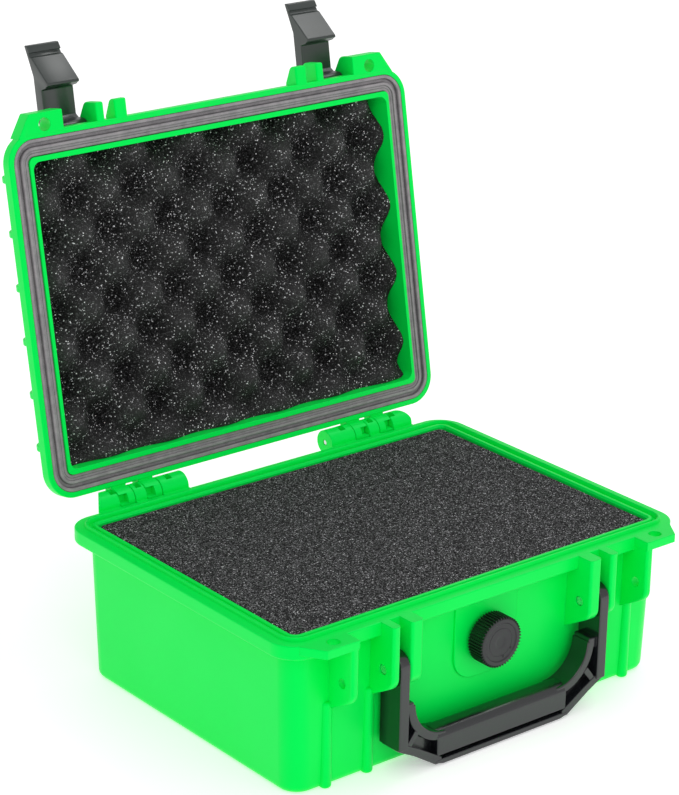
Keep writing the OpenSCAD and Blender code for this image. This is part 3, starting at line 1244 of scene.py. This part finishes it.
@dataclass
class Seal(Piece):
    """The moulded lid seal: outer band, tongue groove, middle band and low inner band."""

    outer: float = 3.15
    inner: float = 12.65

    def ring(self, outer: float, inner: float, low: float, high: float) -> Object:
        """A plain ring that follows the rim.

        Args:
            outer: How far its outside is set in from the flange's edge.
            inner: How far its inside is set in.
            low: Its underside.
            high: Its top.

        Returns:
            The closed ring.
        """
        sizes = self.sizes
        corner = sizes.flange_corner - outer
        half_x, half_y = sizes.half_width - outer, sizes.half_depth - outer
        slab = rounded_slab("ring", half_x, half_y, low, high, corner, 14)
        with editing(slab, "FACE"):
            pick(slab, "FACE", at(2, low, high))
            bpy.ops.mesh.inset(thickness=(inner - outer) * MM, depth=0)
            bpy.ops.mesh.bridge_edge_loops()
        return slab

    def build(self) -> Object:
        """Builds the seal closed, swings it open with the lid and dresses it.

        Returns:
            The dressed piece.
        """
        sizes = self.sizes
        low, high = sizes.lid_z + 0.4, sizes.lid_z + 4.95
        half_x, half_y = sizes.half_width - self.outer, sizes.half_depth - self.outer
        slab = rounded_slab("seal", half_x, half_y, low, high, sizes.flange_corner - self.outer, 14)
        outer_band = [(0.3, 0.3), (1.45, 0.0), (0.3, -0.3)]
        groove = [(0.1, -1.6), (2.2, 0.0), (0.1, 1.5)]
        middle_band = [(0.3, 0.3), (1.0, 0.0), (0.25, -0.25)]
        inner_band = [(0.1, -0.55), (1.2, 0.0), (0.25, -0.25), (0.25, 0.25), (1.35, 0.0), (0.35, -0.35)]
        steps = outer_band + groove + middle_band + inner_band
        step_face(slab, at(2, low), steps)
        width = sum(inwards for inwards, _ in steps)
        inner_x = half_x - width + 0.05
        with editing(slab, "FACE"):
            pick(slab, "FACE", at(2, high))
            bpy.ops.mesh.inset(thickness=width * MM, depth=0)
            pick(slab, "FACE", lambda face: len(face) > 8 and all(abs(c.x) < inner_x for c in face))
            bpy.ops.mesh.bridge_edge_loops()
        shaded(slab, 30)
        slab.data.transform(sizes.opened())
        return self.dress(slab, "seal_lid", "lid", "seal", self.finishes.seal, "lid_gasket")


@dataclass
class LidFoam(Piece):
    """The convoluted foam in the lid, with staggered soft peaks."""

    pitch_x: float = 39.1
    pitch_y: float = 40.6
    peak_at: tuple[float, float] = (6.5, 20.2)
    half: tuple[float, float] = (119.6, 83.0)
    swell: float = 15.0
    edge_reach: float = 7.0
    edge_depth: float = 1.2
    edge_share: float = 0.2
    rim_fall: float = 1.6
    rim_reach: float = 1.8
    cell: float = 1.6

    def height(self, x: float, y: float, half_y: float) -> float:
        """How far the surface lies behind the peaks at a place, flatter along the hinge side.

        Args:
            x: Place across the lid.
            y: Place from the front to the hinge side.
            half_y: Where the hinge side of the foam lies.

        Returns:
            The depth in millimetres.
        """
        wave = math.cos(2 * math.pi * (x - self.peak_at[0]) / self.pitch_x)
        wave *= math.cos(2 * math.pi * (y - self.peak_at[1]) / self.pitch_y)
        level = 0.5 + 0.5 * wave
        depth = self.swell * (1 - level**1.15)
        edge = math.exp(-(((half_y - y) / self.edge_reach) ** 2))
        return depth * (1 - edge) + (self.edge_depth + self.edge_share * depth) * edge

    def build(self) -> Object:
        """Builds the foam face down in the closed lid, swings it open and dresses it.

        Returns:
            The dressed piece.
        """
        half_x, half_y = self.half
        front, back = self.sizes.ledge_z + 1.0, self.sizes.lid_top - 3.3
        bpy.ops.object.select_all(action="DESELECT")
        bpy.ops.mesh.primitive_grid_add(
            x_subdivisions=round(2 * half_x / self.cell),
            y_subdivisions=round(2 * half_y / self.cell),
            size=1,
            location=(0, 0, front * MM),
        )
        bpy.ops.transform.resize(value=(2 * half_x * MM, 2 * half_y * MM, 1))
        bpy.ops.object.transform_apply(location=True, rotation=True, scale=True)
        foam = bpy.context.object
        with editing(foam, "EDGE"):
            bpy.ops.mesh.select_non_manifold()
            bpy.ops.mesh.extrude_region_move(TRANSFORM_OT_translate={"value": (0, 0, (back - front) * MM)})
            bpy.ops.mesh.edge_face_add()
            bpy.ops.mesh.select_all(action="SELECT")
            bpy.ops.mesh.normals_make_consistent(inside=False)
        for vertex in foam.data.vertices:
            place = vertex.co / MM
            if place.z < front + 0.1:
                rim = min(half_x - abs(place.x), half_y - abs(place.y))
                rounding = self.rim_fall * math.exp(-rim / self.rim_reach)
                grain = 0.5 * noise.noise(place * 0.16) + 0.22 * noise.noise(place * 0.9)
                depth = self.height(place.x, place.y, half_y) * (1 + 0.05 * grain)
                vertex.co.z += (depth + rounding + 0.35 + 0.3 * grain) * MM
                vertex.co.x += 0.5 * noise.noise(place * 0.35) * MM
        # rise: 1 at the peaks, falling to 0 down in the valleys; the foam finish paints light on the peaks by
        # it.
        rise = foam.data.attributes.new("rise", "FLOAT", "POINT")
        for vertex, item in zip(foam.data.vertices, rise.data):
            item.value = 1 - (vertex.co.z / MM - front) / self.swell
        activate(foam)
        bpy.ops.object.shade_smooth_by_angle(angle=math.radians(50))
        foam.data.transform(self.sizes.opened())
        self.dress(foam, "foam_lid", "lid", "lid_foam", self.finishes.lid_foam, "lid_foam")
        return foam


@dataclass
class BaseFoam(Piece):
    """The three foam layers in the tub."""

    corner: float = 3.2
    edge: float = 0.8
    valve_room: float = 15.0

    def layer(self, name: str, node: str, cut_for_valve: bool = False) -> Object:
        """Builds one flat layer with slightly uneven, rounded edges.

        Args:
            name: The piece's name.
            node: The frame's node that it stands for.
            cut_for_valve: Whether room is cut for the valve's nut.

        Returns:
            The layer.
        """
        low, high = (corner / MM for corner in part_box(node))
        slab = rounded_slab(name, high.x + 0.1, high.y + 0.1, low.z, high.z, self.corner, 4)
        bevel_edges(slab, at(2, high.z), self.edge, 3)
        bevel_edges(slab, at(2, low.z), self.edge, 3)
        if cut_for_valve:
            combine(slab, Join.CUT, [rod("valve_room", Axis.Y, (0, -87, 56), 20, self.valve_room, 40)])
        activate(slab)
        bpy.ops.object.shade_smooth_by_angle(angle=math.radians(50))
        self.dress(slab, name, "base", "base_foam", self.finishes.base_foam, node)
        return slab

    def build(self) -> list[Object]:
        """Builds the layers from the top down.

        Returns:
            The dressed layers.
        """
        return [
            self.layer("foam_upper", "base_foam_upper", cut_for_valve=True),
            self.layer("foam_lower", "base_foam_lower"),
            self.layer("foam_pad", "base_foam_pad"),
        ]


@dataclass
class Latch(Piece):
    """A draw-down latch: flared tail, cross groove, hook lip, recessed spine and pivot boss."""

    span: tuple[float, float] = (77.6, 97.9)
    axis: tuple[float, float] = (-97.4, 100.9)
    boss: float = 3.2
    bore: float = 1.65

    def outline(self) -> list[tuple[float, float, float]]:
        """The side outline, as places on the inner flank.

        Returns:
            Corners in order.
        """
        eye_and_back = [(3.2, 0), (4.0, 9.5), (2.0, 13.4), (-27.6, 13.1), (-35.6, 15.7)]
        tail = [(-44.2, 18.6), (-44.0, 15.9), (-40.3, 14.0)]
        cross_groove = [(-39.9, 15.2), (-38.0, 14.1), (-37.7, 12.7)]
        hook = [(-24.3, -0.1), (-22.9, -0.4), (-22.2, 1.4), (-21.5, 2.4), (-20.5, 6.6)]
        spine = [(-5.4, 6.8), (-3.6, 4.6), (-3.2, 0)]
        steps = eye_and_back + tail + cross_groove + hook + spine
        return [(self.span[0], self.axis[0] + y, self.axis[1] + z) for y, z in steps]

    def build(self) -> list[Object]:
        """Builds the right latch, copies it mirrored to the left and dresses both.

        Returns:
            Both dressed latches.
        """
        width = self.span[1] - self.span[0]
        latch = soften(drawn("latch", self.outline(), (width, 0, 0)), 0.5, 3, 30)
        middle = (sum(self.span) / 2, *self.axis)
        combine(latch, Join.ADD, [rod("boss", Axis.X, middle, width, self.boss, 40, 0.4)])
        combine(latch, Join.CUT, [rod("latch_bore", Axis.X, middle, width + 2, self.bore, 24)])
        shaded(latch, 32)
        latch.data.transform(self.sizes.opened())
        twin = latch.copy()
        twin.data = latch.data.copy()
        bpy.context.scene.collection.objects.link(twin)
        twin.data.transform(Matrix.Scale(-1, 4, (1, 0, 0)))
        twin.data.flip_normals()
        return [
            self.dress(latch, "latch_r", "latch_right", "latch", self.finishes.latch, "latch_right"),
            self.dress(twin, "latch_l", "latch_left", "latch", self.finishes.latch, "latch_left"),
        ]


@dataclass
class CarryHandle(Piece):
    """The bail handle: eyed arms, steps, curved roots with pockets, round grip and a lip below it."""

    axis: tuple[float, float] = (-101.0, 62.5)
    arm: tuple[float, float] = (65.7, 71.8)
    arm_half: float = 8.2
    foot: float = 17.0
    curve: float = 26.0
    band: float = 5.0
    root_depth: float = 12.4
    grip_low: float = 5.7
    grip_high: float = 20.3
    grip_half: tuple[float, float] = (45.0, 6.9)
    grip_round: float = 5.5
    bore: float = 2.8

    def arms(self) -> Object:
        """The two arms, rounded over the pins at the top.

        Returns:
            The pair of arms.
        """
        y, top = self.axis[0], self.axis[1] + self.arm_half
        arm = block("arm", (self.arm[0], y - self.arm_half, self.foot), (self.arm[1], y + self.arm_half, top))
        bevel_edges(arm, lambda c: at(2, top)(c) and abs(c[0].y - c[1].y) < TOUCH, 8.1, 10)
        return mirrored(soften(arm, 0.7, 3))

    def roots(self) -> Object:
        """The curved bands that lead from the arms round into the grip.

        Returns:
            The pair of roots.
        """
        y = self.axis[0]
        centre_x, centre_z = self.arm[0] - self.curve - 1, self.foot + self.curve - 3
        bpy.ops.object.select_all(action="DESELECT")
        start = Vector((centre_x + self.curve - self.band / 2, y, centre_z)) * MM
        bpy.ops.mesh.primitive_plane_add(size=1, location=start)
        bpy.ops.transform.resize(value=(self.band * MM, self.root_depth * MM, 1))
        bpy.ops.object.transform_apply(location=True, rotation=True, scale=True)
        root = bpy.context.object
        with editing(root, "FACE"):
            bpy.ops.mesh.select_all(action="SELECT")
            centre = Vector((centre_x, y, centre_z)) * MM
            bpy.ops.mesh.spin(steps=16, angle=-QUARTER_TURN, center=centre, axis=(0, 1, 0))
            bpy.ops.mesh.select_all(action="SELECT")
            bpy.ops.mesh.remove_doubles(threshold=0.00001)
            bpy.ops.mesh.fill_holes(sides=4)
            bpy.ops.mesh.select_all(action="SELECT")
            bpy.ops.mesh.normals_make_consistent(inside=False)
        return mirrored(soften(root, 0.8, 3))

    def corner_parts(self) -> list[Object]:
        """The step, the sloping foot, the strut and the thin web that close each corner.

        Returns:
            Parts of both corners.
        """
        y = self.axis[0]
        step = block("step", (self.arm[0] - 5, y - 6.2, 35.5), (self.arm[0] + 1, y + 6.2, 41.8))
        outside = [(71.8, 21), (71.8, 17), (60.5, 11), (46, 1.6), (42, 1.6)]
        inside = [(42, 5), (57.5, 14.5), (66.6, 19.4), (66.6, 22)]
        foot = drawn("foot", [(x, y - 7.2, z) for x, z in outside + inside], (0, 13.4, 0))
        bar = [(57.5, 23), (60, 25.5), (65.5, 18.5), (63, 16)]
        strut = drawn("strut", [(x, y - 6.6, z) for x, z in bar], (0, 12.2, 0))
        lower = [(68, 40), (68, 19), (60, 13), (48, 7), (40, 7)]
        upper = [(40, 14), (52, 17), (60, 24), (64.5, 36), (64.5, 40)]
        web = drawn("web", [(x, y - 1.2, z) for x, z in lower + upper], (0, 2.4, 0))
        parts = (soften(step, 1.0, 3), soften(foot, 0.6, 2), soften(strut, 0.4), web)
        return [mirrored(part) for part in parts]

    def grip_parts(self) -> list[Object]:
        """The round grip, and the web and lip under it.

        Returns:
            Parts of the grip.
        """
        y = self.axis[0]
        half_x, half_y = self.grip_half
        grip = block("grip", (-half_x, y - half_y, self.grip_low), (half_x, y + half_y, self.grip_high))
        long_top = lambda c: abs(c[0].x - c[1].x) > 10 and c[0].z > self.grip_high - 0.1
        bevel_edges(grip, long_top, self.grip_round, 8)
        grip = soften(grip, 0.8, 3)
        web = block("grip_web", (-half_x, y - 3, 2), (half_x, y + 3, self.grip_low + 3))
        ends = [(-41, 1), (41, 1), (47, 2.6), (45.6, 3.9), (-45.6, 3.9), (-47, 2.6)]
        lip = drawn("lip", [(x, y - 7.4, z) for x, z in ends], (0, 13.6, 0))
        return [grip, soften(web, 0.4), soften(lip, 0.5, 3)]

    def build(self) -> Object:
        """Builds the handle and dresses it.

        Returns:
            The dressed piece.
        """
        handle = self.arms()
        combine(handle, Join.ADD, [self.roots()] + self.corner_parts() + self.grip_parts())
        bore = mirrored(rod("pin_bore", Axis.X, (sum(self.arm) / 2, *self.axis), 8, self.bore, 32))
        combine(handle, Join.CUT, [bore])
        shaded(handle, 32)
        return self.dress(handle, "handle", "handle", "handle", self.finishes.handle, "carry_handle")


@dataclass
class PurgeValve(Piece):
    """The knurled knob, its seal ring, and the stem, nut and washer behind the wall."""

    height: float = 56.0
    plate_y: float = -92.0
    tail_y: float = -78.0
    teeth: int = 48
    drum: float = 13.0
    drum_y: tuple[float, float] = (1.6, 12.0)
    tooth_inset: float = 0.12
    tooth_height: float = 1.1
    pip_angles: tuple[float, float] = (-35.0, -75.0)
    pip_reach: float = 9.0

    def knob(self) -> Object:
        """The knob: a toothed drum with a rimmed, dished face, a centre dimple and two moulding pips.

        Returns:
            The knob.
        """
        back, front = (self.plate_y - distance for distance in self.drum_y)
        middle = (0, (back + front) / 2, self.height)
        knob = rod("knob", Axis.Y, middle, back - front, self.drum, 2 * self.teeth)
        with editing(knob, "FACE"):
            def every_other(corners: Corners) -> bool:
                """Picks every second flat round the drum.

                Args:
                    corners: Corners of the element, in mm.

                Returns:
                    Whether the face becomes a tooth.
                """
                if len(corners) != 4:
                    return False
                centre = sum(corners, Vector()) / 4
                angle = math.atan2(centre.z - self.height, centre.x)
                index = round(angle / (2 * math.pi) * 2 * self.teeth - 0.5)
                return index % 2 == 0

            pick(knob, "FACE", every_other)
            for rise in (0.0, self.tooth_height):
                bpy.ops.mesh.inset(thickness=self.tooth_inset * MM, depth=rise * MM, use_individual=True)
        bevel_edges(knob, at(1, front), 0.5, 2)
        rim = [(1.6, 0.0), (0.5, -0.5), (2.4, 0.0)]
        ring = [(0.25, -0.18), (0.25, 0.18), (3.4, 0.0)]
        dimple = [(1.0, -0.25), (1.2, -0.15)]
        step_face(knob, lambda corners: len(corners) > 40 and at(1, front)(corners), rim + ring + dimple)
        for angle in map(math.radians, self.pip_angles):
            x, z = self.pip_reach * math.cos(angle), self.height + self.pip_reach * math.sin(angle)
            combine(knob, Join.ADD, [rod("pip", Axis.Y, (x, front + 0.6, z), 0.9, 0.55, 16, 0.15)])
        combine(knob, Join.CUT, [rod("knob_bore", Axis.Y, (0, back - 3, self.height), 7.5, 6.05, 40)])
        shaded(knob, 28)
        return self.dress(knob, "knob", "valve_knob", "valve", self.finishes.valve, "valve_knob")

    def tube(
        self, name: str, start: float, length: float, outer: float, inner: float, sides: int = 48
    ) -> Object:
        """A bored rod from a place towards the front.

        Args:
            name: Name of the new piece.
            start: Place where it starts, in mm.
            length: Length, in mm.
            outer: Radius of the outside, in mm.
            inner: Radius of the bore, in mm.
            sides: Number of flats round the outside.

        Returns:
            The new tube.
        """
        middle = (0, start - length / 2, self.height)
        tube = rod(name, Axis.Y, middle, length, outer, sides, 0.35)
        return combine(tube, Join.CUT, [rod("bore", Axis.Y, middle, length + 2, inner, 40)])

    def build(self) -> list[Object]:
        """Builds the valve and dresses its pieces.

        Returns:
            The dressed pieces.
        """
        rubber = self.finishes.valve_rubber
        stem = self.tube("stem", self.tail_y, self.tail_y - self.plate_y, 7.0, 2.0)
        combine(stem, Join.ADD, [self.tube("spigot", self.plate_y + 0.5, 7.0, 6.0, 2.0)])
        nut = self.tube("nut", self.tail_y - 0.9, 5, 11, 7.02, 6)
        washer = self.tube("washer", self.tail_y - 5.95, 1.7, 10, 7.02)
        ring = self.tube("ring", self.plate_y - 0.05, 1.5, 9.5, 6.05)
        pieces = [
            (stem, "base", "valve", self.finishes.valve, "valve_stem"),
            (nut, "base", "valve", self.finishes.valve, "valve_nut"),
            (washer, "base", "valve_rubber", rubber, "valve_washer"),
            (ring, "valve_carrier", "valve_rubber", rubber, "valve_seal_ring"),
        ]
        dressed = [self.knob()]
        for piece, body, slot, finish, node in pieces:
            shaded(piece)
            dressed.append(self.dress(piece, node.replace("valve_", "vent_"), body, slot, finish, node))
        return dressed


@dataclass
class Pins(Piece):
    """The steel pins of the hinges, the latches and the handle."""

    def build(self) -> list[Object]:
        """Builds a rod with rounded ends for each pin, from its node's box.

        Returns:
            The dressed pins.
        """
        pins = []
        bodies = {"hinge_pin": "base", "handle_pin": "base", "latch_pin": "lid"}
        for kind, body in bodies.items():
            for side in ("left", "right"):
                low, high = (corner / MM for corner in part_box(f"{kind}_{side}"))
                centre = (low + high) / 2
                radius = (high.z - low.z) / 2
                pin = rod("pin", Axis.X, centre, high.x - low.x, radius, 40, radius * 0.22)
                shaded(pin)
                node = f"{kind}_{side}"
                name = node.replace("pin", "rod")
                pins.append(self.dress(pin, name, body, "pin_steel", self.finishes.steel, node))
        return pins


# ------------------------------------------------------------------ the studio


@dataclass(frozen=True)
class Studio:
    """A pale floor, soft light from all round, and the camera."""

    target: tuple[float, float, float] = (-5.98, 19.2, 120.55)
    azimuth: float = -39.25
    elevation: float = 21.94
    roll: float = 0.96
    distance: float = 1483.61
    lens: float = 124.82
    shift: tuple[float, float] = (-0.0062, 0.0759)
    far_clip: float = 20.0
    aim: tuple[float, float, float] = (0.0, 0.0, 0.12)
    floor_size: float = 12.0
    floor_glow: float = 0.4
    sky: float = 0.72
    lamps: tuple[tuple[str, tuple[float, float, float], float, float], ...] = (
        ("key", (-0.9, -1.5, 1.5), 1.1, 8),
        ("front", (0.5, -1.9, 0.7), 1.2, 2),
        ("top", (0.9, 0.1, 1.7), 0.6, 4),
    )

    def camera(self) -> None:
        """Adds the camera and makes it the scene's."""
        a, e, roll = (math.radians(angle) for angle in (self.azimuth, self.elevation, self.roll))
        back = Vector((math.sin(a) * math.cos(e), -math.cos(a) * math.cos(e), math.sin(e)))
        right = (-back).cross(Vector((0, 0, 1))).normalized()
        up = right.cross(-back)
        turned_right = right * math.cos(roll) + up * math.sin(roll)
        turned_up = up * math.cos(roll) - right * math.sin(roll)
        data = bpy.data.cameras.new("camera")
        data.lens = self.lens
        data.shift_x, data.shift_y = self.shift
        data.clip_end = self.far_clip
        camera = bpy.data.objects.new("camera", data)
        bpy.context.scene.collection.objects.link(camera)
        turn = Matrix((turned_right, turned_up, back)).transposed().to_4x4()
        place = (Vector(self.target) + back * self.distance) * MM
        camera.matrix_world = Matrix.Translation(place) @ turn
        bpy.context.scene.camera = camera

    def floor(self) -> None:
        """Adds the floor with its pale, faintly mottled finish."""
        bpy.ops.object.select_all(action="DESELECT")
        bpy.ops.mesh.primitive_plane_add(size=self.floor_size)
        floor = bpy.context.object
        floor.name = "floor"
        tree = Tree("floor_white")
        mottle = tree.blend(tree.noise(4), (0.9, 0.9, 0.9), (0.93, 0.93, 0.93))
        tree.feed(tree.shader, "Base Color", mottle)
        tree.shader.inputs["Roughness"].default_value = 0.8
        tree.shader.inputs["Emission Color"].default_value = (1, 1, 1, 1)
        tree.shader.inputs["Emission Strength"].default_value = self.floor_glow
        floor.data.materials.append(tree.material)

    def light(self, name: str, place: Sequence[float], size: float, power: float) -> None:
        """Adds a square soft light that faces the case.

        Args:
            name: Name of the light.
            place: Place of the light, in m.
            size: Side of the light, in m.
            power: Power of the light, in W.
        """
        data = bpy.data.lights.new(name, "AREA")
        data.size = size
        data.energy = power
        light = bpy.data.objects.new(name, data)
        bpy.context.scene.collection.objects.link(light)
        aim = Vector(self.aim) - Vector(place)
        turn = aim.to_track_quat("-Z", "Y").to_matrix().to_4x4()
        light.matrix_world = Matrix.Translation(place) @ turn

    def build(self) -> None:
        """Builds the studio."""
        scene = bpy.context.scene
        scene.view_settings.view_transform = "Standard"
        world = bpy.data.worlds.new("studio")
        scene.world = world
        world.use_nodes = True
        background = world.node_tree.nodes["Background"]
        background.inputs["Color"].default_value = (1, 1, 1, 1)
        background.inputs["Strength"].default_value = self.sky
        self.floor()
        for lamp in self.lamps:
            self.light(*lamp)
        self.camera()


def main() -> None:
    """Builds the studio and every piece in order."""
    logging.basicConfig(level=logging.INFO, format="%(name)s: %(message)s")
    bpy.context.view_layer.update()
    Studio().build()
    sizes = CaseSizes.from_frame()
    finishes = Finishes.build()
    for assembly in (BaseShell, LidShell, Seal, LidFoam, BaseFoam, Latch, CarryHandle, PurgeValve, Pins):
        assembly(sizes, finishes).build()


if __name__ == "__main__":
    main()
